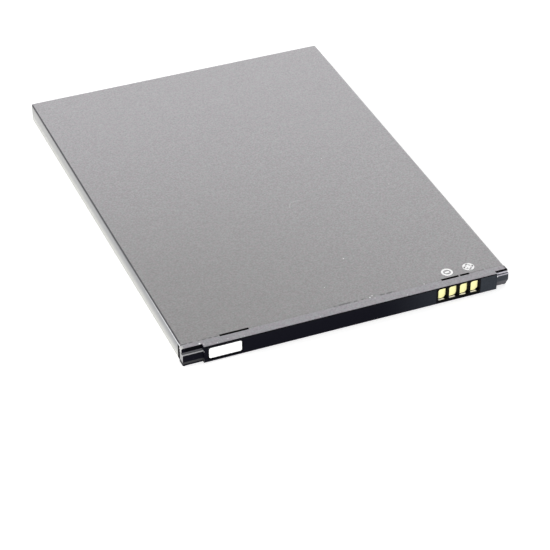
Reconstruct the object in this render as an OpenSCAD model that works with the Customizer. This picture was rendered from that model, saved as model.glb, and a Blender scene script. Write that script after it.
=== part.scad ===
// Thin removable tablet battery: a pouch cell in a moulded frame, with a contact cap across
// the front, all wrapped in one film. Millimetres, +Z up, contacts facing -Y. The origin is the
// centre of the footprint, on the underside. Depths are counted back from the contact face.

/* [Pack] */
// Width over the wrapped sides
pack_w = 78.2; // [74:0.1:90]
// Length from the contact face to the back end
pack_l = 110.5; // [90:0.5:140]
// Thickness over the film
pack_t = 4.5; // [4.3:0.05:6]
// Radius of the long edges, top and bottom
edge_r = 0.6; // [0.4:0.05:0.9]
// Radius of the back edges, top and bottom
back_edge_r = 0.5; // [0.3:0.05:0.9]
// Radius of the back corners, seen from above
back_corner_r = 1.2; // [1:0.1:3]
// How far the top slopes down from the seam to the contact face
front_fall = 0.08; // [0.02:0.01:0.12]

/* [Film] */
// Thickness of the wrapped film
film_t = 0.12; // [0.08:0.01:0.16]
// Strip of bare cap left beside the film, inside the cap's outer edge
film_margin = 0.5; // [0.3:0.05:0.8]
// Strip of bare cap left along the contact face
film_front = 0.35; // [0.05:0.05:0.5]
// Strip of bare cap left round the corner notches
film_notch_gap = 0.1; // [0.05:0.05:0.3]
// Depth of the crease over the seam
crease_depth = 0.04; // [0.02:0.01:0.07]
// Start of the left slit, from the left side
left_slit_x = 9.2; // [8:0.1:12]
// Length of the left slit
left_slit_l = 6.8; // [4:0.1:12]
// Outer end of the right slit, from the right side
right_slit_x = 8.7; // [7:0.1:12]
// Length of the right slit
right_slit_l = 7; // [5:0.1:12]
// Bridge of film left in the right slit
slit_bridge_w = 0.35; // [0.1:0.05:0.5]
// Place of that bridge, from the slit's outer end
slit_bridge_x = 2.5; // [1:0.1:4]
// Gap between the film's two ends, under the pack
film_joint_w = 0.4; // [0.2:0.1:1]
// Place of that gap, from the left side
film_joint_x = 8; // [5:0.5:20]

/* [Front cap] */
// Depth of the cap's top and bottom walls
cap_d = 2.5; // [2.5:0.05:3.5]
// Depth of the cap's bare sides
shoulder_d = 2.45; // [2.2:0.05:2.45]
// How far those bare sides stand out past the film
side_proud = 0.2; // [0.1:0.05:0.5]
// Set-in of the cap behind its bare sides
shoulder_inset = 0.45; // [0.3:0.05:0.6]
// Thickness of the wall that holds the windows
front_wall = 1.1; // [1:0.05:1.2]
// Thickness of the cap's top and bottom walls
cap_wall = 0.38; // [0.3:0.02:0.5]
// Thickness of the cap's end walls, beside its hollow
cap_end_wall = 0.8; // [0.6:0.05:1.5]
// Width of the left corner tab
left_tab_w = 4.6; // [4:0.1:5]
// Width of the right corner tab
right_tab_w = 3; // [2.5:0.1:4]
// Set-back of the tabs behind the contact face
tab_set_back = 0.45; // [0.2:0.05:0.6]
// Radius of the tabs' outer corners
tab_corner_r = 0.25; // [0.1:0.05:0.4]
// Depth of the notch over the left tab
left_notch_d = 1.3; // [1.1:0.05:1.6]
// Depth of the notch over the right tab
right_notch_d = 1.15; // [1.1:0.05:1.6]
// Drop from the top to the left tab's ledge
left_ledge_drop = 1.25; // [0.9:0.05:1.5]
// Drop from the top to the right tab's ledge
right_ledge_drop = 1; // [0.9:0.05:1.5]
// Radius of the ledges' front edges
ledge_r = 0.25; // [0.1:0.05:0.3]
// Fillet at the back of the ledges
notch_fillet_r = 0.2; // [0.1:0.05:0.25]
// Top of the rake under the left tab
left_rake_h = 1.4; // [1:0.1:2]
// Top of the rake under the right tab
right_rake_h = 2; // [1:0.1:2.2]
// Depth of the rake under the left tab
left_rake_d = 0.45; // [0.3:0.05:1.2]
// Depth of the rake under the right tab
right_rake_d = 0.9; // [0.3:0.05:1.2]
// Height of the upright foot behind the rakes
rake_foot = 0.5; // [0.2:0.05:0.8]
// Chamfer under the contact face
foot_chamfer = 0.25; // [0.1:0.05:0.4]

/* [Contacts] */
// Pitch of the contacts
contact_pitch = 2.67; // [2.5:0.01:3]
// Width of a contact window
window_w = 2.3; // [1.8:0.05:2.35]
// Right side of the pack to the nearest window
window_margin = 7.35; // [6:0.05:9]
// Top of the pack to the windows
window_top = 0.35; // [0.3:0.05:0.5]
// Underside of the pack to the windows
window_bottom = 0.9; // [0.8:0.05:1.2]
// Corner radius of the windows
window_r = 0.5; // [0.3:0.05:0.7]
// Set-back of the contacts behind the contact face
contact_recess = 0.9; // [0.6:0.05:0.95]
// Clearance between a contact and its window
contact_gap = 0.1; // [0.05:0.05:0.2]

/* [Moisture sticker] */
// Left side of the pack to the sticker
sticker_x = 5.8; // [5.4:0.1:9]
// Width of the sticker
sticker_w = 7.6; // [5:0.05:12]
// Top of the pack to the sticker
sticker_top = 0.85; // [0.8:0.05:1.2]
// Underside of the pack to the sticker
sticker_bottom = 1; // [0.9:0.05:1.3]
// Thickness of the sticker
sticker_t = 0.1; // [0.05:0.05:0.25]
// Corner radius of the sticker
sticker_r = 0.4; // [0.2:0.05:0.6]
// Margin of the recess round the sticker
recess_margin = 0.3; // [0.1:0.05:0.35]
// Depth of the recess
recess_d = 0.3; // [0.25:0.05:0.5]

/* [Frame and cover] */
// Gap between the cap and the frame, under the crease
seam_gap = 0.35; // [0.15:0.05:0.5]
// Width of the groove down each side, behind the cap
side_groove_w = 0.8; // [0.5:0.05:1.2]
// Thickness of the frame's side walls
frame_wall = 0.9; // [0.7:0.05:1.3]
// Thickness of the frame's back wall
back_wall = 0.9; // [0.7:0.05:2]
// Thickness of the sill and of the cover
plate_t = 0.4; // [0.3:0.05:0.5]
// Width of the frame's tongues, which stand in sockets of the cap
tongue_w = 0.45; // [0.3:0.05:0.6]
// Reach of those tongues ahead of the seam
tongue_d = 0.85; // [0.5:0.05:0.9]
// Thickness of the lips that reach into the cap
lip_t = 0.3; // [0.2:0.05:0.35]
// Reach of those lips ahead of the seam
lip_d = 0.8; // [0.5:0.05:0.9]
// Depth of the step that carries each lip, behind the seam
lip_step_d = 0.45; // [0.3:0.05:0.8]
// Width of the cover's ribs
rib_w = 0.8; // [0.6:0.1:1.5]
// Pitch of those ribs, outwards from the tabs
rib_pitch = 7; // [4:0.5:10]
// Slip clearance between moulded pieces
slip = 0.05; // [0.03:0.01:0.08]

/* [Cell] */
// Thickness of each adhesive sheet
adhesive_t = 0.1; // [0.05:0.01:0.15]
// Clearance round the cell
cell_gap = 0.12; // [0.08:0.01:0.3]
// Thickness of the tape on the folded seals
tape_t = 0.08; // [0.05:0.01:0.12]
// Thickness of the folded side seals
fold_t = 0.3; // [0.2:0.05:0.5]
// Drop from the cell's upper face to the top of the folded side seals
fold_drop = 0.68; // [0.4:0.02:1.2]
// Radius of the drawn cup's edges
cup_edge_r = 0.9; // [0.5:0.1:1.2]
// Radius of the drawn cup's corners
cup_corner_r = 2; // [1.5:0.1:4]
// Thickness of the foam at the back end
foam_t = 0.6; // [0.3:0.1:1.5]
// Reach of the front seal ahead of the cup
seal_d = 2.7; // [2.2:0.1:5]
// Thickness of the front seal
seal_t = 0.3; // [0.25:0.05:0.4]
// Clearance between the front seal and the sill under it
seal_gap = 0.08; // [0.06:0.01:0.2]
// Inset of the front seal from the frame's inner walls
seal_inset = 2.6; // [2.2:0.1:6]
// Width of a tab
tab_w = 5; // [3:0.5:6]
// Thickness of a tab
tab_t = 0.1; // [0.08:0.01:0.12]
// Reach of a tab's bend ahead of the seal
tab_bend_d = 0.55; // [0.5:0.05:1]
// Clearance between that bend and the frame's step
tab_bend_gap = 0.12; // [0.05:0.01:0.3]
// Distance from the folded tab's end to the cover's back edge
tab_tail_gap = 1.1; // [0.6:0.1:1.4]
// Rise of the folded tab above the paper
tab_rise = 0.25; // [0.15:0.05:0.4]
// Wall of the sealant sleeve round a tab
sleeve_t = 0.04; // [0.03:0.01:0.06]
// Reach of that sleeve ahead of the seal
sleeve_d = 0.3; // [0.1:0.05:0.35]
// Centre of the positive tab, right of the middle
positive_x = -12; // [-16:0.5:-8]
// Centre of the negative tab, right of the middle
negative_x = 6; // [5:0.5:9]

/* [Electronics] */
// Left side of the pack to the board
board_x = 14.8; // [10:0.1:20]
// Thickness of the board
board_t = 0.6; // [0.4:0.05:0.7]
// Thickness of the leads
lead_t = 0.15; // [0.1:0.01:0.2]
// Width of the leads
lead_w = 3; // [2:0.1:4]
// Height of a lead's foot on the board
lead_foot_h = 1; // [0.6:0.1:1.5]
// Width of the thermal cut-off's body
cutoff_w = 6; // [4:0.1:6.5]
// Height of the thermal cut-off's body
cutoff_h = 0.9; // [0.7:0.05:1.2]
// Gap between the positive tab and that body, and between it and the lead
cutoff_gap = 0.6; // [0.3:0.05:1]
// Thickness of the cut-off's blades
blade_t = 0.1; // [0.08:0.01:0.15]
// Gap between the parts on the board
part_gap = 0.6; // [0.3:0.05:0.8]
// Distance from the board's left end to the thermistor
thermistor_inset = 4.2; // [0.6:0.1:8]
// Thickness of the insulating paper
paper_t = 0.1; // [0.05:0.01:0.15]

/* [Hidden] */
$fn = 48;

// How far a cut runs past the surface that it opens
past = 1;
left_x = -pack_w / 2;
right_x = pack_w / 2;
face_y = -pack_l / 2;

// Depths of the seam between the cap and the frame
seam_d = cap_d + seam_gap;
groove_end_d = shoulder_d + side_groove_w;

// The windows' left edges, from the left
function window_x(i) = right_x - window_margin - window_w - (4 - i) * contact_pitch;

// The cap's hollow, and the board and contacts in it
hollow_z0 = film_t + cap_wall;
hollow_z1 = pack_t - film_t - cap_wall;
hollow_x0 = left_x + left_tab_w + cap_end_wall;
hollow_x1 = right_x - right_tab_w - cap_end_wall;
board_d = front_wall + slip;
board_back_d = board_d + board_t;
board_x0 = left_x + board_x;
board_x1 = hollow_x1 - 4 * slip;
board_z0 = hollow_z0 + slip;
board_z1 = hollow_z1 - slip;
board_mid_z = (board_z0 + board_z1) / 2;

// The parts on the back of the board, as width, height and how far each stands off. The chip and
// its transistor are in a row up to the first contact, and the passives are behind the contacts.
chip_size = [2.4, 1.8, 0.6];
switch_size = [3.4, 1.9, 0.6];
thermistor_size = [1.6, 0.8, 0.6];
passive_size = [1, 0.5, 0.4];
passive_rise = 0.6;
switch_x = window_x(1) - part_gap - switch_size[0] / 2;
chip_x = switch_x - (switch_size[0] + chip_size[0]) / 2 - part_gap;
thermistor_x = board_x0 + thermistor_inset + thermistor_size[0] / 2;

// The frame's front tongues, which show in the side grooves
tongue_d0 = seam_d - tongue_d;
tongue_z = [film_t + plate_t + lip_t, pack_t - film_t - plate_t - lip_t];

// The lips of the sill and the cover
lip_x = [hollow_x0 + slip, hollow_x1 - slip];

// The inner faces of the frame, and the cell between them
bay_x = pack_w / 2 - film_t - frame_wall;
seal_d0 = seam_d + lip_step_d + tab_bend_gap + tab_bend_d;
cell_d = seal_d0 + seal_d;
cover_end_d = cell_d - cell_gap;
cell_end_d = pack_l - film_t - back_wall - foam_t;
cell_z0 = film_t + adhesive_t;
cell_z1 = pack_t - film_t - adhesive_t;
cup_x = bay_x - cell_gap - tape_t - fold_t;
seal_x = bay_x - seal_inset;
seal_z = film_t + plate_t + seal_gap;
paper_z = seal_z + seal_t;
fold_z = [seal_z, cell_z1 - fold_drop];

// The tabs leave the middle of the seal and fold back over it, with the leads on top
tab_z = seal_z + (seal_t - tab_t) / 2;
tab_root_d = cell_d - 2 * seal_t;
tab_nose_d = seal_d0 - tab_bend_d;
tab_fold_z = paper_z + paper_t + tab_rise;
tab_tail_d = cover_end_d - tab_tail_gap;
lead_z = tab_fold_z + tab_t;
cutoff_x0 = positive_x + tab_w / 2 + cutoff_gap;
cutoff_x1 = cutoff_x0 + cutoff_w;
positive_lead_x = cutoff_x1 + cutoff_gap + lead_w / 2;

// Turns a profile drawn in X and Z into a bar along Y, between two depths
module along_y(d0, d1) {
    translate([0, face_y + d1, 0])
        rotate([90, 0, 0])
            linear_extrude(d1 - d0)
                children();
}

// Turns a profile drawn in depth and Z into a bar along X
module along_x(x0, x1) {
    translate([x0, face_y, 0])
        rotate([90, 0, 90])
            linear_extrude(x1 - x0)
                children();
}

// A box between two corners, given as left-right, depth and height
module block(x, d, z) {
    translate([x[0], face_y + d[0], z[0]])
        cube([x[1] - x[0], d[1] - d[0], z[1] - z[0]]);
}

// A rectangle with four round corners, from its lower left corner
module round_rect(w, h, r) {
    translate([r, 0]) square([w - 2 * r, h]);
    translate([0, r]) square([w, h - 2 * r]);
    for (x = [r, w - r], y = [r, h - r])
        translate([x, y]) circle(r);
}

// A rectangle with its two far corners round, as the pack is from above
module round_back(w, l, r) {
    translate([-w / 2, 0]) square([w, l - r]);
    translate([r - w / 2, 0]) square([w - 2 * r, l]);
    for (x = [r - w / 2, w / 2 - r])
        translate([x, l - r]) circle(r);
}

// The pack's outline from the side, with its top sloping down ahead of the seam
module side_outline(inset, d0) {
    r = back_edge_r - inset;
    end = pack_l - inset;
    low = inset;
    high = pack_t - inset;
    slope = front_fall / seam_d;
    polygon([[d0, low], [end - r, low], [end - r, high], [seam_d, high],
             [d0, high - slope * (seam_d - d0)]]);
    translate([end - r - past, low + r]) square([r + past, high - low - 2 * r]);
    for (z = [low + r, high - r])
        translate([end - r, z]) circle(r);
}

// The form of the whole pack, or of what lies a film's thickness inside it, at a given width
module pack_form(inset, d0, width) {
    intersection() {
        along_y(d0, pack_l)
            translate([inset - width / 2, inset])
                round_rect(width - 2 * inset, pack_t - 2 * inset, edge_r - inset);
        along_x(-width / 2, width / 2)
            side_outline(inset, d0);
        translate([0, face_y + d0, 0])
            linear_extrude(pack_t)
                round_back(width - 2 * inset, pack_l - inset - d0, back_corner_r - inset);
    }
}

// The film's space over the cap's top wall or under its bottom wall
module film_space(top) {
    slope = front_fall / seam_d;
    along_x(left_x + film_margin, right_x - film_margin)
        if (top)
            polygon([[-past, pack_t - film_t - slope * (seam_d + past)],
                     [seam_d, pack_t - film_t], [seam_d, pack_t + past], [-past, pack_t + past]]);
        else
            polygon([[-past, -past], [seam_d, -past], [seam_d, film_t], [-past, film_t]]);
}

// One straight slit through the film, above the seam
module slit(x0, x1) {
    block([x0, x1], [cap_d, seam_d], [pack_t - film_t - slip, pack_t + past]);
}

module label_wrap() {
    crease_y = (cap_d + seam_d) / 2;
    left_notch_x = left_x + left_tab_w + film_notch_gap;
    right_notch_x = right_x - right_tab_w - film_notch_gap;
    bridge_x = right_x - right_slit_x - slit_bridge_x;
    color([0.42, 0.42, 0.43])
    difference() {
        pack_form(0, 0, pack_w);
        // All that lies inside the film, with the film's flat panels left over the cap
        difference() {
            pack_form(film_t, -past, pack_w);
            block([left_x - past, right_x + past], [-2 * past, shoulder_d], [-past, pack_t + past]);
        }
        difference() {
            block([left_x - past, right_x + past], [-past, shoulder_d], [-past, pack_t + past]);
            film_space(true);
            film_space(false);
        }
        block([left_x - past, right_x + past], [-past, film_front], [-past, pack_t + past]);
        // Corner notches above, and the clearance of the raked tabs below
        for (tab = [[[left_x - past, left_notch_x], left_notch_d, left_rake_d],
                    [[right_notch_x, right_x + past], right_notch_d, right_rake_d]]) {
            block(tab[0], [-past, tab[1] + film_notch_gap], [pack_t / 2, pack_t + past]);
            block(tab[0], [-past, tab_set_back + tab[2] + film_notch_gap], [-past, pack_t / 2]);
        }
        // Reliefs that leave the side grooves open
        for (x = [[left_x - past, left_x + film_margin], [right_x - film_margin, right_x + past]])
            block(x, [shoulder_d - past, groove_end_d], [edge_r, pack_t - edge_r]);
        slit(left_x + left_slit_x, left_x + left_slit_x + left_slit_l);
        slit(bridge_x + slit_bridge_w / 2, right_x - right_slit_x);
        slit(right_x - right_slit_x - right_slit_l, bridge_x - slit_bridge_w / 2);
        along_x(left_x - past, right_x + past)
            polygon([[cap_d, pack_t], [crease_y, pack_t - crease_depth], [seam_d, pack_t],
                     [seam_d, pack_t + past], [cap_d, pack_t + past]]);
        block([left_x + film_joint_x, left_x + film_joint_x + film_joint_w],
              [-past, pack_l - back_edge_r], [-past, film_t + slip]);
    }
}

// The space over a tab, with the ledge's round front edge and the fillet behind it
module notch_outline(notch_d, ledge_drop) {
    ledge_z = pack_t - ledge_drop;
    difference() {
        union() {
            translate([-past, ledge_z]) square([notch_d + past, ledge_drop + past]);
            translate([-past, ledge_z - ledge_r])
                square([past + tab_set_back + ledge_r, ledge_r]);
        }
        translate([tab_set_back + ledge_r, ledge_z - ledge_r]) circle(ledge_r);
        difference() {
            translate([notch_d - notch_fillet_r, ledge_z]) square([notch_fillet_r, notch_fillet_r]);
            translate([notch_d - notch_fillet_r, ledge_z + notch_fillet_r]) circle(notch_fillet_r);
        }
    }
}

// The space under a tab, ahead of its rake and its foot
module rake_outline(rake_d, rake_h) {
    foot_d = tab_set_back + rake_d;
    polygon([[-past, -past], [-past, rake_h], [tab_set_back, rake_h],
             [foot_d, rake_foot], [foot_d, -past]]);
}

// The cap seen from above: the contact face between two set-back corner tabs
module cap_plan() {
    r = tab_corner_r;
    half = pack_w / 2 + side_proud;
    translate([left_x + left_tab_w, 0])
        square([pack_w - left_tab_w - right_tab_w, shoulder_d]);
    translate([-half, tab_set_back + r]) square([2 * half, shoulder_d - tab_set_back - r]);
    translate([r - half, tab_set_back]) square([2 * (half - r), 2 * r]);
    for (x = [r - half, half - r])
        translate([x, tab_set_back + r]) circle(r);
    translate([left_x + shoulder_inset, tab_set_back + r])
        square([pack_w - 2 * shoulder_inset, cap_d - tab_set_back - r]);
}

module front_cap() {
    sticker_z = sticker_bottom - recess_margin;
    sticker_h = pack_t - sticker_top - sticker_bottom;
    color([0.07, 0.07, 0.08])
    difference() {
        intersection() {
            pack_form(0, 0, pack_w + 2 * side_proud);
            translate([0, face_y, 0]) linear_extrude(pack_t) cap_plan();
        }
        // Behind the bare sides the cap lies under the film all round
        difference() {
            block([left_x - past, right_x + past], [shoulder_d, cap_d + past],
                  [-past, pack_t + past]);
            pack_form(film_t, 0, pack_w);
        }
        film_space(true);
        film_space(false);
        along_x(left_x - past, left_x + left_tab_w) {
            notch_outline(left_notch_d, left_ledge_drop);
            rake_outline(left_rake_d, left_rake_h);
        }
        along_x(right_x - right_tab_w, right_x + past) {
            notch_outline(right_notch_d, right_ledge_drop);
            rake_outline(right_rake_d, right_rake_h);
        }
        along_x(left_x - past, right_x + past)
            polygon([[-past, -past], [-past, film_t + foot_chamfer], [0, film_t + foot_chamfer],
                     [foot_chamfer, film_t], [foot_chamfer, -past]]);
        // The hollow for the board, open at the back
        block([hollow_x0, hollow_x1], [front_wall, cap_d + past], [hollow_z0, hollow_z1]);
        // Sockets for the frame's tongues
        for (x = [[-bay_x - tongue_w - slip, -bay_x + slip], [bay_x - slip, bay_x + tongue_w + slip]])
            block(x, [tongue_d0 - slip, cap_d + past], [tongue_z[0] - slip, tongue_z[1] + slip]);
        for (i = [1:4])
            along_y(-past, front_wall + past)
                translate([window_x(i), window_bottom])
                    round_rect(window_w, pack_t - window_top - window_bottom, window_r);
        along_y(-past, recess_d)
            translate([left_x + sticker_x - recess_margin, sticker_z])
                round_rect(sticker_w + 2 * recess_margin, sticker_h + 2 * recess_margin,
                           sticker_r + recess_margin);
    }
}

// A contact plate stands on the board, as high as its window or the board, whichever is lower
module contact(i) {
    top = min(pack_t - window_top - contact_gap, board_z1);
    color([0.95, 0.82, 0.42])
    along_y(contact_recess, board_d)
        translate([window_x(i) + contact_gap, window_bottom + contact_gap])
            round_rect(window_w - 2 * contact_gap, top - window_bottom - contact_gap,
                       window_r - contact_gap);
}

module contact_1() { contact(1); }
module contact_2() { contact(2); }
module contact_3() { contact(3); }
module contact_4() { contact(4); }

module moisture_sticker() {
    color([0.96, 0.96, 0.95])
    along_y(recess_d - sticker_t, recess_d)
        translate([left_x + sticker_x, sticker_bottom])
            round_rect(sticker_w, pack_t - sticker_top - sticker_bottom, sticker_r);
}

module frame() {
    color([0.1, 0.1, 0.11])
    union() {
        difference() {
            pack_form(film_t, seam_d, pack_w);
            // The bay for the cell, right through
            block([-bay_x, bay_x], [cover_end_d, pack_l - film_t - back_wall],
                  [-past, pack_t + past]);
            // The room over the sill
            block([-bay_x, bay_x], [seam_d - past, cover_end_d + past],
                  [film_t + plate_t, pack_t + past]);
            // The side walls start behind the side grooves
            for (x = [[left_x, -bay_x], [bay_x, right_x]])
                block(x, [seam_d - past, groove_end_d], [-past, pack_t + past]);
        }
        for (x = [[-bay_x - tongue_w, -bay_x], [bay_x, bay_x + tongue_w]])
            block(x, [tongue_d0, groove_end_d + past], tongue_z);
        // The front lip, on a step of the sill, reaches into the cap
        block(lip_x, [seam_d - lip_d, seam_d + lip_step_d],
              [hollow_z0 + slip, film_t + plate_t + lip_t]);
        block(lip_x, [seam_d, seam_d + lip_step_d],
              [film_t + plate_t - slip, film_t + plate_t + lip_t]);
    }
}

module seal_cover() {
    top_z = pack_t - film_t;
    under_z = top_z - plate_t;
    leg_x = bay_x - slip;
    rib_d = [seal_d0 + slip, cover_end_d - slip];
    rib_end_x = seal_x - rib_w;
    left_ribs = [positive_x - tab_w / 2 - rib_pitch : -rib_pitch : -rib_end_x];
    right_ribs = [negative_x + tab_w / 2 + rib_pitch : rib_pitch : rib_end_x];
    color([0.16, 0.16, 0.17])
    union() {
        block([-leg_x, leg_x], [seam_d, cover_end_d], [under_z, top_z]);
        // The front lip, below a step of the plate, reaches under the cap's top wall
        block(lip_x, [seam_d - lip_d, seam_d + lip_step_d], [under_z - lip_t, hollow_z1 - slip]);
        block(lip_x, [seam_d, seam_d + lip_step_d], [under_z - lip_t, under_z + slip]);
        // A leg at each end stands on the sill
        for (x = [[-leg_x, -seal_x - slip], [seal_x + slip, leg_x]])
            block(x, [seam_d, cover_end_d], [film_t + plate_t, under_z + slip]);
        // Ribs hold the paper down, out to each side of the tabs
        for (ribs = [left_ribs, right_ribs], x = ribs)
            block([x - rib_w / 2, x + rib_w / 2], rib_d, [paper_z + paper_t + slip, under_z + slip]);
    }
}

module pouch_cell() {
    cup_l = cell_end_d - cell_d;
    color([0.78, 0.79, 0.8])
    difference() {
        union() {
            // The drawn cup
            intersection() {
                along_y(cell_d, cell_end_d)
                    translate([-cup_x, cell_z0])
                        round_rect(2 * cup_x, cell_z1 - cell_z0, cup_edge_r);
                along_x(-cup_x, cup_x)
                    translate([cell_d, cell_z0])
                        round_rect(cup_l, cell_z1 - cell_z0, cup_edge_r);
                translate([-cup_x, face_y + cell_d, 0])
                    linear_extrude(pack_t)
                        round_rect(2 * cup_x, cup_l, cup_corner_r);
            }
            // The side seals, folded up against the cup
            for (x = [-cup_x - fold_t, cup_x - fold_t])
                block([x, x + 2 * fold_t], [cell_d + cup_corner_r, cell_end_d - cup_corner_r],
                      fold_z);
            // The front seal
            block([-seal_x, seal_x], [seal_d0, cell_d + cup_edge_r], [seal_z, paper_z]);
        }
        for (x = [positive_x, negative_x])
            block([x - tab_w / 2 - sleeve_t, x + tab_w / 2 + sleeve_t], [seal_d0 - past, tab_root_d],
                  [tab_z - sleeve_t, tab_z + tab_t + sleeve_t]);
    }
}

// A tab: out of the seal, round a tight bend and back over it
module tab(x) {
    along_x(x - tab_w / 2, x + tab_w / 2)
        polygon([[tab_root_d, tab_z], [tab_nose_d, tab_z], [tab_nose_d, tab_fold_z + tab_t],
                 [tab_tail_d, tab_fold_z + tab_t], [tab_tail_d, tab_fold_z],
                 [tab_nose_d + tab_t, tab_fold_z], [tab_nose_d + tab_t, tab_z + tab_t],
                 [tab_root_d, tab_z + tab_t]]);
}

module positive_tab() { color([0.85, 0.86, 0.88]) tab(positive_x); }
module negative_tab() { color([0.8, 0.78, 0.74]) tab(negative_x); }

// The sealant sleeve round a tab, which shows a little ahead of the seal
module tab_seal(x) {
    half = tab_w / 2;
    color([0.92, 0.9, 0.8])
    difference() {
        block([x - half - sleeve_t, x + half + sleeve_t], [seal_d0 - sleeve_d, tab_root_d],
              [tab_z - sleeve_t, tab_z + tab_t + sleeve_t]);
        block([x - half, x + half], [seal_d0 - past, tab_root_d + past], [tab_z, tab_z + tab_t]);
    }
}

module positive_tab_seal() { tab_seal(positive_x); }
module negative_tab_seal() { tab_seal(negative_x); }

// A lead: its foot soldered to the back of the board, its leg welded down behind
module lead(x, z) {
    tail_d = tab_tail_d - 2 * lead_t;
    color([0.82, 0.81, 0.77])
    along_x(x - lead_w / 2, x + lead_w / 2)
        polygon([[board_back_d, z], [tail_d, z], [tail_d, z + lead_t],
                 [board_back_d + lead_t, z + lead_t], [board_back_d + lead_t, z + lead_foot_h],
                 [board_back_d, z + lead_foot_h]]);
}

module positive_lead() { lead(positive_lead_x, lead_z + blade_t); }
module negative_lead() { lead(negative_x, lead_z); }

// Body and two blades: one on the positive tab, one under the positive lead
module thermal_cutoff() {
    blade_d = [seal_d0 + 2 * lead_t, tab_tail_d - 2 * lead_t];
    corner_r = 0.15;
    color([0.2, 0.2, 0.22])
    union() {
        along_y(seal_d0 + slip, cover_end_d - 2 * lead_t)
            translate([cutoff_x0, paper_z + paper_t])
                round_rect(cutoff_w, cutoff_h, corner_r);
        block([positive_x, cutoff_x0 + past], blade_d, [lead_z, lead_z + blade_t]);
        block([cutoff_x1 - past, positive_lead_x + lead_w / 2], blade_d, [lead_z, lead_z + blade_t]);
    }
}

module circuit_board() {
    color([0.1, 0.25, 0.16])
    block([board_x0, board_x1], [board_d, board_back_d], [board_z0, board_z1]);
}

// A part on the back of the board, by its centre and its size
module board_part(x, z, size) {
    along_y(board_back_d, board_back_d + size[2])
        translate([x - size[0] / 2, z - size[1] / 2])
            square([size[0], size[1]]);
}

module protection_chip() { color([0.12, 0.12, 0.13]) board_part(chip_x, board_mid_z, chip_size); }
module switch_transistor() { color([0.15, 0.15, 0.16]) board_part(switch_x, board_mid_z, switch_size); }
module thermistor() { color([0.25, 0.22, 0.2]) board_part(thermistor_x, board_mid_z, thermistor_size); }

module chip_passives() {
    color([0.65, 0.58, 0.48])
    for (i = [1:3], z = [-passive_rise, passive_rise])
        board_part(window_x(i) + window_w / 2, board_mid_z + z, passive_size);
}

module insulating_paper() {
    color([0.88, 0.86, 0.78])
    block([-seal_x, seal_x], [seal_d0, cell_d - slip], [paper_z, paper_z + paper_t]);
}

module adhesive_sheet(z) {
    inset = cup_corner_r;
    block([-cup_x + inset, cup_x - inset], [cell_d + inset, cell_end_d - inset],
          [z, z + adhesive_t]);
}

module upper_adhesive() { color([0.9, 0.9, 0.88]) adhesive_sheet(cell_z1); }
module lower_adhesive() { color([0.9, 0.9, 0.88]) adhesive_sheet(film_t); }

module edge_tape(x) {
    block([x, x + tape_t], [cell_d + cup_corner_r, cell_end_d - cup_corner_r], fold_z);
}

module left_edge_tape() { color([0.75, 0.5, 0.15]) edge_tape(-cup_x - fold_t - tape_t); }
module right_edge_tape() { color([0.75, 0.5, 0.15]) edge_tape(cup_x + fold_t); }

module end_foam() {
    color([0.2, 0.2, 0.2])
    block([-cup_x + cup_corner_r, cup_x - cup_corner_r], [cell_end_d, cell_end_d + foam_t],
          [cell_z0 + cup_edge_r, cell_z1 - cup_edge_r]);
}

label_wrap();
front_cap();
contact_1();
contact_2();
contact_3();
contact_4();
moisture_sticker();
frame();
seal_cover();
pouch_cell();
positive_tab();
negative_tab();
positive_tab_seal();
negative_tab_seal();
positive_lead();
negative_lead();
thermal_cutoff();
circuit_board();
protection_chip();
switch_transistor();
thermistor();
chip_passives();
insulating_paper();
upper_adhesive();
lower_adhesive();
left_edge_tape();
right_edge_tape();
end_foam();
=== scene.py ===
import math

import bpy
import bmesh
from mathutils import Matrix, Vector


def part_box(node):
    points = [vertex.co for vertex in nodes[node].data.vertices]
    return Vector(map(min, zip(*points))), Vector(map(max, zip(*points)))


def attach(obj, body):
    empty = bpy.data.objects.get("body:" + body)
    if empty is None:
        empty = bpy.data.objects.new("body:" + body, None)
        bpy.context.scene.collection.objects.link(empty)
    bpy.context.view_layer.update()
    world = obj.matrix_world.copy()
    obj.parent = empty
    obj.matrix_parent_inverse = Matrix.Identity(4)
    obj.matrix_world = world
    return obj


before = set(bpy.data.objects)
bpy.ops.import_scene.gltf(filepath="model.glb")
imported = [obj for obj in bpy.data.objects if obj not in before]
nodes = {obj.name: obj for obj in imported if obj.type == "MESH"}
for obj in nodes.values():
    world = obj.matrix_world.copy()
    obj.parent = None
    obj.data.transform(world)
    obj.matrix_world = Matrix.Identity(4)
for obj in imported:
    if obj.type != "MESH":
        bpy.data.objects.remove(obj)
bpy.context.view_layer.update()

# Sizes are in metres. Places in materials are in millimetres, in the frame of the battery.
MM = 0.001
BODY = "root"
film_low, film_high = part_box("label_wrap")
cap_low, cap_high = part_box("front_cap")

# Camera, by its place and by the point of the film's top that it looks at
CAMERA_PLACE = Vector((-160.07, -398.83, 287.82)) * MM
CAMERA_TARGET = Vector((-10.28, -36.53, 4.5)) * MM
CAMERA_LENS = 140.94
CAMERA_SENSOR = 36.0

# Light levels: the world for soft light, and lamps by place, size and power
WORLD_LEVEL = 0.5
FLOOR_GLOW = 0.5
LAMPS = {
    "back_softbox": {"place": (0.25, 0.75, 0.34), "size": (1.0, 0.4), "power": 2.4},
    "left_window": {"place": (-0.70, 0.10, 0.16), "size": (0.9, 0.3), "power": 4.6},
    "front_window": {"place": (-0.12, -0.80, 0.2), "size": (0.9, 0.3), "power": 5.6},
}

# The seam between cap and frame, front and back, where the slits are
SEAM = (-52.75, -52.4)

# The windows' left edges: the first one, and the pitch
WINDOW_X = 21.44
WINDOW_PITCH = 2.67

# Two tints that the film's grain wanders between
WARM = (1.045, 0.98, 1.015, 1)
COOL = (0.965, 1.015, 1.0, 1)

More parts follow.
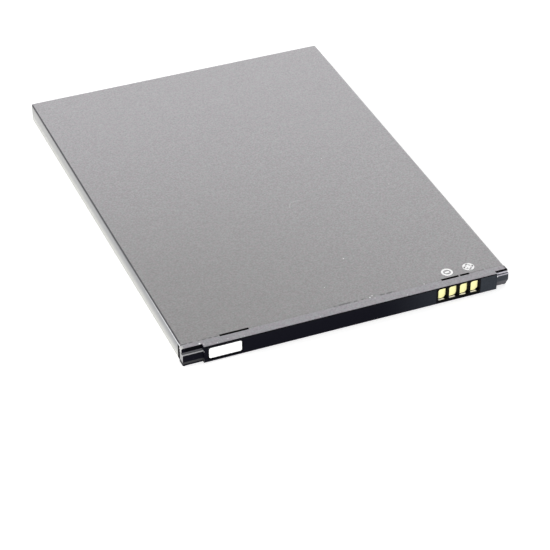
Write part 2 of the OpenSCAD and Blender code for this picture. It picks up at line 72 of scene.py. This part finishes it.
# Nicks and specks on the film, by place and radius in millimetres
NICKS = [
    ((-34.9, -53.6, 4.45), 0.24),
    ((-34.1, -54.1, 4.45), 0.12),
    ((-31.2, -54.7, 4.43), 0.1),
    ((-28.6, -54.3, 4.43), 0.1),
    ((-24.9, -54.7, 4.43), 0.09),
    ((36.3, -54.25, 4.44), 0.14),
    ((14.0, -54.6, 4.43), 0.09),
    ((-7.0, -54.6, 4.43), 0.09),
    ((6.5, -36.6, 4.5), 0.16),
    ((-1.9, -45.1, 4.5), 0.1),
    ((29.0, -12.6, 4.5), 0.11),
    ((18.6, 3.8, 4.5), 0.09),
    ((5.9, -52.4, 4.5), 0.16),
    ((6.6, -52.0, 4.5), 0.14),
    ((6.9, -53.0, 4.5), 0.12),
    ((19.2, -52.4, 4.5), 0.13),
]

# The middle and radius of the curved scratch on the film
SCRATCH_PLACE = (5.6, -13.2, 4.5)
SCRATCH_RADIUS = 2.38

# Polarity marks on the film, in millimetres: where they are and how big
MARK_RADIUS = 1.36
MARK_RING = 0.5
MARK_INK = 0.012
MINUS_PLACE = (25.9, -50.31)
PLUS_PLACE = (31.3, -50.23)
MINUS_BAR = (1.05, 0.62)
PLUS_BAR = (2.3, 0.52)


def feed(tree, value, socket):
    """A socket takes another node's output, or a plain number or colour."""
    if isinstance(value, bpy.types.NodeSocket):
        tree.links.new(value, socket)
    else:
        socket.default_value = value


def calculate(tree, operation, *values, clamp=False):
    """The result of one Math node."""
    node = tree.nodes.new("ShaderNodeMath")
    node.operation = operation
    node.use_clamp = clamp
    for socket, value in zip(node.inputs, values):
        feed(tree, value, socket)
    return node.outputs[0]


def ramp(tree, value, start, end, low=0.0, high=1.0):
    """A smooth change from low to high while the value goes from start to end."""
    node = tree.nodes.new("ShaderNodeMapRange")
    node.interpolation_type = "SMOOTHSTEP"
    for socket, number in zip(node.inputs, (value, start, end, low, high)):
        feed(tree, number, socket)
    return node.outputs["Result"]


def blend(tree, mask, below, above):
    """A colour that goes from below to above as the mask goes from 0 to 1."""
    node = tree.nodes.new("ShaderNodeMix")
    node.data_type = "RGBA"
    feed(tree, mask, node.inputs["Factor"])
    feed(tree, below, node.inputs["A"])
    feed(tree, above, node.inputs["B"])
    return node.outputs["Result"]


def noise(tree, vector, scale, detail=3.0, roughness=0.5):
    """A noise value with about that many lumps to the millimetre."""
    node = tree.nodes.new("ShaderNodeTexNoise")
    feed(tree, vector, node.inputs["Vector"])
    feed(tree, scale, node.inputs["Scale"])
    feed(tree, detail, node.inputs["Detail"])
    feed(tree, roughness, node.inputs["Roughness"])
    return node.outputs["Fac"]


def distance(tree, vector, place):
    """How far two places are apart."""
    node = tree.nodes.new("ShaderNodeVectorMath")
    node.operation = "DISTANCE"
    feed(tree, vector, node.inputs[0])
    feed(tree, place, node.inputs[1])
    return node.outputs["Value"]


def new_group(name, inputs, outputs):
    """An empty node group, with its input and output nodes."""
    tree = bpy.data.node_groups.new(name, "ShaderNodeTree")
    for label, kind, value in inputs:
        socket = tree.interface.new_socket(label, in_out="INPUT", socket_type=kind)
        socket.default_value = value
    for label, kind in outputs:
        tree.interface.new_socket(label, in_out="OUTPUT", socket_type=kind)
    return tree, tree.nodes.new("NodeGroupInput").outputs, tree.nodes.new("NodeGroupOutput").inputs


def place(tree, group, values):
    """A node group in a material, with its own values."""
    node = tree.nodes.new("ShaderNodeGroup")
    node.node_tree = group
    for label, value in values.items():
        feed(tree, value, node.inputs[label])
    return node.outputs


FLOAT, VECTOR, COLOUR = "NodeSocketFloat", "NodeSocketVector", "NodeSocketColor"


def grain_group():
    """Fine grain: a tone that varies a little round 1, and a height for bump."""
    tree, given, out = new_group(
        "fine_grain",
        [("Vector", VECTOR, (0, 0, 0)), ("Scale", FLOAT, 5.0), ("Contrast", FLOAT, 0.1)],
        [("Tone", FLOAT), ("Height", FLOAT)],
    )
    fine = noise(tree, given["Vector"], given["Scale"], 4.0, 0.6)
    spread = calculate(tree, "SUBTRACT", fine, 0.5)
    scaled = calculate(tree, "MULTIPLY", spread, given["Contrast"])
    feed(tree, calculate(tree, "ADD", scaled, 1.0), out["Tone"])
    feed(tree, fine, out["Height"])
    return tree


def band_group():
    """A soft-edged band round one value, such as a line along an edge."""
    tree, given, out = new_group(
        "band",
        [("Value", FLOAT, 0.0), ("Centre", FLOAT, 0.0), ("Half Width", FLOAT, 0.1), ("Blur", FLOAT, 0.05)],
        [("Mask", FLOAT)],
    )
    apart = calculate(tree, "ABSOLUTE", calculate(tree, "SUBTRACT", given["Value"], given["Centre"]))
    outside = calculate(tree, "SUBTRACT", apart, given["Half Width"])
    share = calculate(tree, "DIVIDE", outside, given["Blur"])
    feed(tree, calculate(tree, "SUBTRACT", 1.0, share, clamp=True), out["Mask"])
    return tree


def spot_group():
    """A round spot at one place, such as a speck of dust or a painted glint on a corner."""
    tree, given, out = new_group(
        "spot",
        [("Vector", VECTOR, (0, 0, 0)), ("Place", VECTOR, (0, 0, 0)), ("Radius", FLOAT, 0.2)],
        [("Mask", FLOAT)],
    )
    share = calculate(tree, "DIVIDE", distance(tree, given["Vector"], given["Place"]), given["Radius"])
    feed(tree, ramp(tree, share, 1.15, 0.7), out["Mask"])
    return tree


def dust_group():
    """Sparse fine dust: bright points in a few cells out of many."""
    tree, given, out = new_group(
        "dust",
        [("Vector", VECTOR, (0, 0, 0)), ("Scale", FLOAT, 1.0), ("Share", FLOAT, 0.1), ("Radius", FLOAT, 0.1)],
        [("Mask", FLOAT)],
    )
    cells = tree.nodes.new("ShaderNodeTexVoronoi")
    feed(tree, given["Vector"], cells.inputs["Vector"])
    feed(tree, given["Scale"], cells.inputs["Scale"])
    chance = tree.nodes.new("ShaderNodeSeparateColor")
    feed(tree, cells.outputs["Color"], chance.inputs["Color"])
    chosen = calculate(tree, "LESS_THAN", chance.outputs["Red"], given["Share"])
    near = calculate(tree, "LESS_THAN", cells.outputs["Distance"], given["Radius"])
    feed(tree, calculate(tree, "MULTIPLY", chosen, near), out["Mask"])
    return tree


GRAIN, BAND, SPOT, DUST = grain_group(), band_group(), spot_group(), dust_group()


def new_material(name, roughness, metallic=0.0, specular=0.5, coat=0.0, coat_roughness=0.1):
    """A material with its shader, and the place on the piece in millimetres."""
    material = bpy.data.materials.new(name)
    material.use_nodes = True
    tree = material.node_tree
    shader = tree.nodes["Principled BSDF"]
    shader.inputs["Roughness"].default_value = roughness
    shader.inputs["Metallic"].default_value = metallic
    shader.inputs["Specular IOR Level"].default_value = specular
    shader.inputs["Coat Weight"].default_value = coat
    shader.inputs["Coat Roughness"].default_value = coat_roughness
    coordinates = tree.nodes.new("ShaderNodeTexCoord")
    scale = tree.nodes.new("ShaderNodeVectorMath")
    scale.operation = "SCALE"
    scale.inputs["Scale"].default_value = 1 / MM
    tree.links.new(coordinates.outputs["Object"], scale.inputs[0])
    split = tree.nodes.new("ShaderNodeSeparateXYZ")
    tree.links.new(scale.outputs[0], split.inputs[0])
    return material, tree, shader, scale.outputs[0], split.outputs


def bump(tree, shader, height, distance, strength=1.0):
    """Relief of that depth in millimetres."""
    node = tree.nodes.new("ShaderNodeBump")
    node.inputs["Strength"].default_value = strength
    node.inputs["Distance"].default_value = distance * MM
    feed(tree, height, node.inputs["Height"])
    tree.links.new(node.outputs["Normal"], shader.inputs["Normal"])


def tinted(tree, colour, tone):
    """A colour times a tone that varies over the surface, or times a fixed tint."""
    node = tree.nodes.new("ShaderNodeMix")
    node.data_type = "RGBA"
    node.blend_type = "MULTIPLY"
    node.inputs["Factor"].default_value = 1.0
    feed(tree, colour, node.inputs["A"])
    if isinstance(tone, tuple):
        node.inputs["B"].default_value = tone
        return node.outputs["Result"]
    grey = tree.nodes.new("ShaderNodeCombineColor")
    for channel in ("Red", "Green", "Blue"):
        feed(tree, tone, grey.inputs[channel])
    tree.links.new(grey.outputs[0], node.inputs["B"])
    return node.outputs["Result"]


def both(tree, *masks):
    """The mask where all of several masks meet."""
    result = masks[0]
    for mask in masks[1:]:
        result = calculate(tree, "MULTIPLY", result, mask)
    return result


def either(tree, *masks):
    """The mask where any of several masks shows."""
    result = masks[0]
    for mask in masks[1:]:
        result = calculate(tree, "MAXIMUM", result, mask)
    return result


def corner(tree, sideways, along, radius):
    """The mask outside a rounded corner, from the distances past the middle of its round."""
    sideways = calculate(tree, "MAXIMUM", sideways, 0.0)
    along = calculate(tree, "MAXIMUM", along, 0.0)
    squares = calculate(tree, "MULTIPLY_ADD", sideways, sideways, calculate(tree, "MULTIPLY", along, along))
    return ramp(tree, calculate(tree, "SQRT", squares), radius - 0.04, radius + 0.04)


def film_material():
    """Satin film: fine grain, painted sheen on the top, a painted reflection, highlight and dark reflection on the left
    side, painted shade in the slits, notches and groove, dust, nicks and a scratch.
    """
    material, tree, shader, spot, axis = new_material("satin_film", 0.36, specular=0.5, coat=0.25, coat_roughness=0.2)
    x, y, z = axis["X"], axis["Y"], axis["Z"]
    grain = place(tree, GRAIN, {"Vector": spot, "Scale": 2.6, "Contrast": 1.25})
    clouds = place(tree, GRAIN, {"Vector": spot, "Scale": 0.22, "Contrast": 0.12})
    # The top is painted lighter towards the right at the front and towards the back, and lighter on the strip in front
    # of the crease: painted sheen.
    front = blend(tree, ramp(tree, x, -35.0, 38.0), (0.198, 0.193, 0.193, 1), (0.242, 0.236, 0.241, 1))
    colour = blend(tree, ramp(tree, y, -50.0, 50.0), front, (0.252, 0.242, 0.256, 1))
    strip = blend(tree, ramp(tree, x, -35.0, 38.0), (0.25, 0.242, 0.262, 1), (0.28, 0.272, 0.292, 1))
    colour = blend(tree, ramp(tree, y, SEAM[0] + 0.1, SEAM[0] - 0.1), colour, strip)
    colour = tinted(tree, colour, calculate(tree, "MULTIPLY", grain["Tone"], clouds["Tone"]))
    hue = ramp(tree, noise(tree, spot, 1.3, 2.0), 0.35, 0.65)
    colour = blend(tree, hue, tinted(tree, colour, WARM), tinted(tree, colour, COOL))

    # The left side is painted paler towards its foot and towards the back, a painted reflection of the floor; a painted
    # highlight runs along its upper edge towards the front, a painted dark reflection along the bend of the top, and
    # painted shade fills the groove
    wall = ramp(tree, x, -38.95, -39.05)
    pale = calculate(tree, "MAXIMUM", ramp(tree, z, 3.7, 0.7), ramp(tree, y, -45.0, 60.0, 0.0, 0.35))
    colour = blend(tree, wall, colour, blend(tree, pale, (0.125, 0.127, 0.135, 1), (0.4, 0.4, 0.375, 1)))
    groove_shade = both(tree, wall, ramp(tree, y, -51.3, -51.4), ramp(tree, z, 4.1, 4.0))
    edge_highlight = place(tree, BAND, {"Value": z, "Centre": 4.2, "Half Width": 0.06, "Blur": 0.07})["Mask"]
    edge_highlight = both(tree, edge_highlight, ramp(tree, x, -38.7, -38.8), ramp(tree, y, -15.0, -50.0))
    colour = blend(tree, edge_highlight, colour, (0.6, 0.61, 0.63, 1))
    # Painted dark reflection along the bend at the top of the left side
    bend = place(tree, BAND, {"Value": x, "Centre": -38.87, "Half Width": 0.15, "Blur": 0.07})["Mask"]
    bend = both(tree, bend, ramp(tree, z, 4.2, 4.3), ramp(tree, y, -52.4, -51.6))
    colour = blend(tree, bend, colour, (0.012, 0.013, 0.017, 1))

    # Painted shade in the slits, on the cut edges of the notches and in the groove, carried a little past the slits'
    # edges and made unreflective; the dashes of the crease beside the slits are dark
    line = place(tree, BAND, {"Value": y, "Centre": sum(SEAM) / 2, "Half Width": 0.29, "Blur": 0.04})["Mask"]
    left_slit = place(tree, BAND, {"Value": x, "Centre": -26.5, "Half Width": 3.35, "Blur": 0.1})["Mask"]
    right_slit = place(tree, BAND, {"Value": x, "Centre": 26.9, "Half Width": 3.4, "Blur": 0.1})["Mask"]
    bridge = place(tree, BAND, {"Value": x, "Centre": 27.9, "Half Width": 0.16, "Blur": 0.1})["Mask"]
    right_slit = both(tree, right_slit, calculate(tree, "SUBTRACT", 1.0, bridge))
    top = ramp(tree, z, 4.2, 4.3)
    slit_shade = both(tree, top, line, either(tree, left_slit, right_slit))
    thin = place(tree, BAND, {"Value": y, "Centre": sum(SEAM) / 2, "Half Width": 0.1, "Blur": 0.1})["Mask"]
    ends = either(tree, ramp(tree, x, -29.5, -30.5), both(tree, ramp(tree, x, 30.0, 30.6), ramp(tree, x, 37.0, 34.0, 0.0, 0.6)))
    dashes = both(tree, top, thin, ends, ramp(tree, noise(tree, spot, 1.4, 1.0), 0.42, 0.56))
    colour = blend(tree, dashes, colour, (0.07, 0.07, 0.078, 1))
    notch_shade = place(tree, BAND, {"Value": y, "Centre": -53.9, "Half Width": 0.25, "Blur": 0.05})["Mask"]
    notch_shade = both(tree, notch_shade, ramp(tree, z, 4.41, 4.39), ramp(tree, z, 3.0, 3.1))
    dark = either(tree, slit_shade, notch_shade, groove_shade)
    colour = blend(tree, dark, colour, (0.001, 0.001, 0.001, 1))
    tree.links.new(dark, shader.inputs["Metallic"])
    tree.links.new(calculate(tree, "MULTIPLY_ADD", dark, 0.64, 0.36), shader.inputs["Roughness"])
    tree.links.new(calculate(tree, "MULTIPLY_ADD", dark, -0.25, 0.25), shader.inputs["Coat Weight"])

    # Cracks in the middle of the crease, and a faint curved scratch
    crease = place(tree, BAND, {"Value": y, "Centre": SEAM[1] - 0.05, "Half Width": 0.16, "Blur": 0.12})["Mask"]
    whole = place(tree, BAND, {"Value": x, "Centre": 6.6, "Half Width": 1.5, "Blur": 0.4})["Mask"]
    cracks = both(tree, top, crease, ramp(tree, x, -3.4, -2.6), ramp(tree, x, 12.6, 11.6),
                  calculate(tree, "SUBTRACT", 1.0, whole), ramp(tree, noise(tree, spot, 1.2, 2.0), 0.42, 0.54, 0.0, 0.85))
    colour = blend(tree, cracks, colour, (0.07, 0.07, 0.078, 1))
    apart = distance(tree, spot, SCRATCH_PLACE)
    scratch = place(tree, BAND, {"Value": apart, "Centre": SCRATCH_RADIUS, "Half Width": 0.08, "Blur": 0.1})["Mask"]
    scratch = both(tree, top, scratch, ramp(tree, x, 7.2, 6.2), ramp(tree, y, -13.4, -12.6, 0.0, 0.13))
    colour = blend(tree, scratch, colour, (0.8, 0.8, 0.82, 1))

    # Dust, and nicks on the top and along the front edge
    dust = place(tree, DUST, {"Vector": spot, "Scale": 0.16, "Share": 0.12, "Radius": 0.02})["Mask"]
    for nick, radius in NICKS:
        dust = either(tree, dust, place(tree, SPOT, {"Vector": spot, "Place": nick, "Radius": radius})["Mask"])
    colour = blend(tree, dust, colour, (0.8, 0.8, 0.82, 1))
    tree.links.new(colour, shader.inputs["Base Color"])
    bump(tree, shader, grain["Height"], 0.01, 0.35)
    return material


def cap_material():
    """Black moulded plastic with a fine spark-eroded texture, painted lighter towards the right, with painted shade in
    its recesses and painted highlights and reflections on its tabs and bare edges.
    """
    material, tree, shader, spot, axis = new_material("moulded_cap", 0.5, specular=0.03)
    x, y, z = axis["X"], axis["Y"], axis["Z"]
    grain = place(tree, GRAIN, {"Vector": spot, "Scale": 3.0, "Contrast": 0.9})
    # The face is painted lighter towards the right, a painted reflection, and the walls of the windows are painted
    # darker, a painted shade.
    colour = blend(tree, ramp(tree, x, 5.0, 36.0), (0.003, 0.003, 0.006, 1), (0.027, 0.031, 0.038, 1))
    window_shade = both(tree, ramp(tree, x, 20.8, 21.1), ramp(tree, x, 32.1, 31.9))
    colour = blend(tree, window_shade, colour, (0.002, 0.002, 0.003, 1))
    colour = tinted(tree, colour, grain["Tone"])

    # Painted shade on the strip of bare cap above the face and on the walls of the windows and of the sticker's recess,
    # and a painted highlight on the windows' sills
    strip = both(tree, ramp(tree, y, -55.24, -55.22), ramp(tree, x, -34.4, -34.3), ramp(tree, x, 36.0, 35.9))
    colour = blend(tree, strip, colour, (0.002, 0.002, 0.003, 1))
    light = place(tree, BAND, {"Value": y, "Centre": -54.68, "Half Width": 0.19, "Blur": 0.05})["Mask"]
    across = calculate(tree, "MODULO", calculate(tree, "SUBTRACT", x, WINDOW_X), WINDOW_PITCH)
    sill_highlight = both(tree, strip, light, ramp(tree, z, 1.05, 0.95), ramp(tree, z, 0.84, 0.88), ramp(tree, across, 1.9, 1.6),
                ramp(tree, x, 20.0, 21.0))
    colour = blend(tree, sill_highlight, colour, (1.0, 0.96, 0.94, 1))

    # The left tab: a painted reflection on its bare side and corner, painted shade on the notch's wall, a painted
    # highlight on its ledge and a painted reflection on its rake
    left = ramp(tree, x, -34.4, -34.5)
    side = either(
        tree,
        both(tree, ramp(tree, x, -39.2, -39.28), ramp(tree, y, -53.15, -53.3)),
        both(tree, ramp(tree, x, -38.3, -38.45), ramp(tree, z, 3.9, 4.0), ramp(tree, y, -53.95, -53.85)),
    )
    colour = blend(tree, side, colour, blend(tree, ramp(tree, z, 2.6, 3.4), (0.3, 0.3, 0.3, 1), (0.46, 0.455, 0.45, 1)))
    wall = both(tree, left, ramp(tree, y, -54.0, -53.96), ramp(tree, z, 3.4, 3.5), ramp(tree, x, -38.5, -38.4))
    colour = blend(tree, wall, colour, (0.001, 0.001, 0.002, 1))
    ledge_highlight = place(tree, BAND, {"Value": z, "Centre": 3.25, "Half Width": 0.04, "Blur": 0.12})["Mask"]
    ledge_highlight = both(tree, ledge_highlight, left)
    colour = blend(tree, ledge_highlight, colour, blend(tree, ramp(tree, y, -54.3, -54.75), (0.12, 0.12, 0.13, 1), (0.42, 0.42, 0.43, 1)))
    rake_reflection = both(tree, place(tree, BAND, {"Value": z, "Centre": 0.95, "Half Width": 0.4, "Blur": 0.1})["Mask"], left)
    colour = blend(tree, rake_reflection, colour, (0.035, 0.035, 0.037, 1))

    # The right tab: the same places, painted a little lighter as a painted reflection, with painted shade and a painted
    # highlight on the notch's wall, two painted highlights at the front and the back of the ledge, painted glints, a
    # painted reflection on its rake and a painted highlight on its shoulder
    right = ramp(tree, x, 36.1, 36.2)
    colour = blend(tree, right, colour, tinted(tree, (0.04, 0.044, 0.052, 1), grain["Tone"]))
    wall = both(tree, right, ramp(tree, y, -54.15, -54.1), ramp(tree, z, 3.72, 3.78))
    wall_highlight_and_shade = blend(tree, ramp(tree, x, 36.25, 36.35), (0.2, 0.2, 0.2, 1), (0.002, 0.002, 0.003, 1))
    colour = blend(tree, wall, colour, wall_highlight_and_shade)
    front_line = place(tree, BAND, {"Value": y, "Centre": -54.7, "Half Width": 0.1, "Blur": 0.08})["Mask"]
    back_line = place(tree, BAND, {"Value": y, "Centre": -54.14, "Half Width": 0.08, "Blur": 0.08})["Mask"]
    right_ledge_highlights = both(tree, ramp(tree, x, 36.25, 36.4), either(tree, both(tree, front_line, ramp(tree, z, 3.25, 3.35)), both(tree, back_line, ramp(tree, z, 3.9, 3.75))))
    colour = blend(tree, both(tree, right_ledge_highlights, right, ramp(tree, z, 3.3, 3.4)), colour, (0.45, 0.44, 0.49, 1))
    for painted_glint in ((36.35, -54.2, 3.9), (36.4, -54.75, 3.35)):
        colour = blend(tree, place(tree, SPOT, {"Vector": spot, "Place": painted_glint, "Radius": 0.16})["Mask"], colour, (0.9, 0.9, 0.92, 1))
    colour = blend(tree, both(tree, right, ramp(tree, z, 2.0, 1.2)), colour, (0.09, 0.09, 0.1, 1))
    shoulder_highlight = both(tree, right, ramp(tree, y, -54.0, -53.9), ramp(tree, z, 3.8, 3.95))
    colour = blend(tree, shoulder_highlight, colour, (0.24, 0.235, 0.245, 1))
    tree.links.new(colour, shader.inputs["Base Color"])
    bump(tree, shader, grain["Height"], 0.012, 0.5)
    return material


def plain_material(name, colour, roughness, scale, contrast, depth, **finish):
    """A material of one colour with its own grain, for the pieces inside."""
    material, tree, shader, spot, axis = new_material(name, roughness, **finish)
    grain = place(tree, GRAIN, {"Vector": spot, "Scale": scale, "Contrast": contrast})
    tree.links.new(tinted(tree, (*colour, 1), grain["Tone"]), shader.inputs["Base Color"])
    bump(tree, shader, grain["Height"], depth, 0.4)
    return material


def gold_material():
    """Gold plate with fine brushing, with painted shadow where the window's walls stand over it."""
    material, tree, shader, spot, axis = new_material("gold_plate", 0.4, metallic=0.2, specular=0.4)
    stretch = tree.nodes.new("ShaderNodeMapping")
    stretch.inputs["Scale"].default_value = (9.0, 9.0, 1.2)
    tree.links.new(spot, stretch.inputs["Vector"])
    brushing = place(tree, GRAIN, {"Vector": stretch.outputs[0], "Scale": 1.0, "Contrast": 0.14})
    colour = tinted(tree, (1.0, 0.96, 0.47, 1), brushing["Tone"])
    across = calculate(tree, "MODULO", calculate(tree, "SUBTRACT", axis["X"], WINDOW_X), WINDOW_PITCH)
    low_right = corner(tree, calculate(tree, "SUBTRACT", across, 1.22), calculate(tree, "SUBTRACT", 1.93, axis["Z"]), 0.95)
    top_left = corner(tree, calculate(tree, "SUBTRACT", 0.98, across), calculate(tree, "SUBTRACT", axis["Z"], 2.85), 0.54)
    # Painted shadow at the lower right and the upper left of each pad
    shadow = either(tree, low_right, top_left)
    tree.links.new(blend(tree, shadow, colour, (0.004, 0.003, 0.002, 1)), shader.inputs["Base Color"])
    bump(tree, shader, brushing["Height"], 0.004, 0.5)
    return material


def dress(material, *names):
    """Gives CAD nodes their material."""
    for name in names:
        mesh = nodes[name].data
        mesh.materials.clear()
        mesh.materials.append(material)


dress(film_material(), "label_wrap")
dress(cap_material(), "front_cap")
dress(gold_material(), *[f"contact_{i}" for i in range(1, 5)])
dress(plain_material("sticker_paper", (0.93, 0.93, 0.92), 0.7, 6.0, 0.05, 0.006, specular=0.2), "moisture_sticker")
dress(plain_material("frame_plastic", (0.006, 0.006, 0.007), 0.6, 6.0, 0.4, 0.01, specular=0.1), "frame", "seal_cover")
dress(plain_material("pouch_laminate", (0.72, 0.73, 0.75), 0.32, 1.2, 0.08, 0.02, metallic=0.9), "pouch_cell")
dress(plain_material("tab_aluminium", (0.8, 0.81, 0.83), 0.3, 5.0, 0.1, 0.004, metallic=1.0), "positive_tab")
dress(plain_material("nickel_strip", (0.72, 0.7, 0.66), 0.3, 5.0, 0.1, 0.004, metallic=1.0),
      "negative_tab", "positive_lead", "negative_lead")
dress(plain_material("tab_sealant", (0.85, 0.82, 0.7), 0.5, 3.0, 0.1, 0.004), "positive_tab_seal", "negative_tab_seal")
dress(plain_material("moulded_epoxy", (0.03, 0.03, 0.035), 0.55, 8.0, 0.4, 0.01),
      "thermal_cutoff", "protection_chip", "switch_transistor", "thermistor")
dress(plain_material("solder_mask", (0.02, 0.12, 0.06), 0.3, 4.0, 0.2, 0.004), "circuit_board")
dress(plain_material("chip_ceramic", (0.4, 0.33, 0.25), 0.45, 9.0, 0.2, 0.004), "chip_passives")
dress(plain_material("fibre_paper", (0.75, 0.72, 0.62), 0.8, 4.0, 0.15, 0.01), "insulating_paper")
dress(plain_material("adhesive_sheet", (0.8, 0.8, 0.78), 0.4, 2.0, 0.06, 0.01), "upper_adhesive", "lower_adhesive")
dress(plain_material("amber_tape", (0.6, 0.33, 0.06), 0.25, 2.0, 0.12, 0.004), "left_edge_tape", "right_edge_tape")
dress(plain_material("closed_cell_foam", (0.05, 0.05, 0.05), 0.9, 3.0, 0.6, 0.05), "end_foam")


def deselect_all():
    if bpy.context.object and bpy.context.object.mode != "OBJECT":
        bpy.ops.object.mode_set(mode="OBJECT")
    bpy.ops.object.select_all(action="DESELECT")


def ink_disc(name, centre):
    """A printed ring: a low round pad with its middle cut out."""
    deselect_all()
    top = film_high.z
    bpy.ops.mesh.primitive_cylinder_add(
        vertices=64, radius=MARK_RADIUS * MM, depth=MARK_INK * MM,
        location=(centre[0] * MM, centre[1] * MM, top + MARK_INK * MM / 2),
    )
    ring = bpy.context.object
    ring.name = name
    bpy.ops.object.mode_set(mode="EDIT")
    bpy.ops.mesh.select_all(action="DESELECT")
    mesh = bmesh.from_edit_mesh(ring.data)
    for face in mesh.faces:
        face.select = abs(face.normal.z) > 0.9
    bmesh.update_edit_mesh(ring.data)
    bpy.ops.mesh.inset(thickness=MARK_RING * MM, use_individual=True)
    bpy.ops.mesh.bridge_edge_loops()
    bpy.ops.object.mode_set(mode="OBJECT")
    return ring


def ink_bar(centre, size):
    """A printed bar."""
    deselect_all()
    bpy.ops.mesh.primitive_cube_add(
        size=1, location=(centre[0] * MM, centre[1] * MM, film_high.z + MARK_INK * MM / 2),
    )
    bar = bpy.context.object
    bar.scale = (size[0] * MM, size[1] * MM, MARK_INK * MM)
    bpy.ops.object.transform_apply(location=True, rotation=True, scale=True)
    return bar


def ink_cross(centre, size):
    """A printed plus: four arms drawn out of one small block."""
    cross = ink_bar(centre, (size[1], size[1]))
    bpy.ops.object.mode_set(mode="EDIT")
    bpy.ops.mesh.select_mode(type="FACE")
    bpy.ops.mesh.select_all(action="DESELECT")
    mesh = bmesh.from_edit_mesh(cross.data)
    for face in mesh.faces:
        face.select = abs(face.normal.z) < 0.1
    bmesh.update_edit_mesh(cross.data)
    bpy.ops.mesh.extrude_faces_move(
        MESH_OT_extrude_faces_indiv={"mirror": False},
        TRANSFORM_OT_shrink_fatten={"value": (size[0] - size[1]) / 2 * MM},
    )
    bpy.ops.object.mode_set(mode="OBJECT")
    return cross


def joined(pieces, name):
    """Several meshes as one piece, with its place in its mesh."""
    deselect_all()
    for piece in pieces:
        piece.select_set(True)
    bpy.context.view_layer.objects.active = pieces[0]
    bpy.ops.object.join()
    piece = bpy.context.object
    piece.name = name
    bpy.ops.object.transform_apply(location=True, rotation=True, scale=True)
    return piece


ink = plain_material("white_ink", (1.0, 1.0, 1.0), 0.5, 6.0, 0.06, 0.004)
minus_mark = joined([ink_disc("minus_ring", MINUS_PLACE), ink_bar(MINUS_PLACE, MINUS_BAR)], "minus_mark")
plus_mark = joined([ink_disc("plus_ring", PLUS_PLACE), ink_cross(PLUS_PLACE, PLUS_BAR)], "plus_mark")
for mark in (minus_mark, plus_mark):
    mark.data.materials.append(ink)
    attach(mark, BODY)


def background_share(tree):
    """1 for the rays that see the background: from the camera, and in mirrors and glass."""
    path = tree.nodes.new("ShaderNodeLightPath")
    seen = calculate(tree, "MAXIMUM", path.outputs["Is Camera Ray"], path.outputs["Is Glossy Ray"])
    return calculate(tree, "MAXIMUM", seen, path.outputs["Is Transmission Ray"])


def make_floor():
    """A pale floor that keeps the battery's soft shadow."""
    deselect_all()
    bpy.ops.mesh.primitive_plane_add(size=12.0, location=(0, 0, 0))
    floor = bpy.context.object
    floor.name = "floor"
    material = bpy.data.materials.new("pale_floor")
    material.use_nodes = True
    tree = material.node_tree
    shader = tree.nodes["Principled BSDF"]
    shader.inputs["Base Color"].default_value = (0.85, 0.85, 0.85, 1)
    shader.inputs["Roughness"].default_value = 1.0
    shader.inputs["Specular IOR Level"].default_value = 0.0
    shader.inputs["Emission Color"].default_value = (1, 1, 1, 1)
    glow = calculate(tree, "MULTIPLY", background_share(tree), FLOOR_GLOW)
    tree.links.new(glow, shader.inputs["Emission Strength"])
    floor.data.materials.append(material)


def make_world():
    """White for the rays that see it, and plain soft light for the rest."""
    world = bpy.data.worlds.new("studio")
    bpy.context.scene.world = world
    world.use_nodes = True
    tree = world.node_tree
    background = tree.nodes["Background"]
    background.inputs["Color"].default_value = (1, 1, 1, 1)
    share = background_share(tree)
    tree.links.new(ramp(tree, share, 0.0, 1.0, WORLD_LEVEL, 1.0), background.inputs["Strength"])


def make_lamp(name, lamp):
    """A rectangular softbox that faces the battery."""
    data = bpy.data.lights.new(name, "AREA")
    data.shape = "RECTANGLE"
    data.size, data.size_y = lamp["size"]
    data.energy = lamp["power"]
    light = bpy.data.objects.new(name, data)
    bpy.context.scene.collection.objects.link(light)
    light.location = lamp["place"]
    light.rotation_euler = (-Vector(lamp["place"])).to_track_quat("-Z", "Y").to_euler()


def make_camera():
    data = bpy.data.cameras.new("photo_camera")
    data.lens = CAMERA_LENS
    data.sensor_width = CAMERA_SENSOR
    data.clip_start = 0.01
    camera = bpy.data.objects.new("photo_camera", data)
    bpy.context.scene.collection.objects.link(camera)
    camera.location = CAMERA_PLACE
    camera.rotation_euler = (CAMERA_TARGET - CAMERA_PLACE).to_track_quat("-Z", "Y").to_euler()
    bpy.context.scene.camera = camera


make_floor()
make_world()
for lamp_name, lamp in LAMPS.items():
    make_lamp(lamp_name, lamp)
make_camera()
bpy.context.scene.view_settings.view_transform = "Standard"
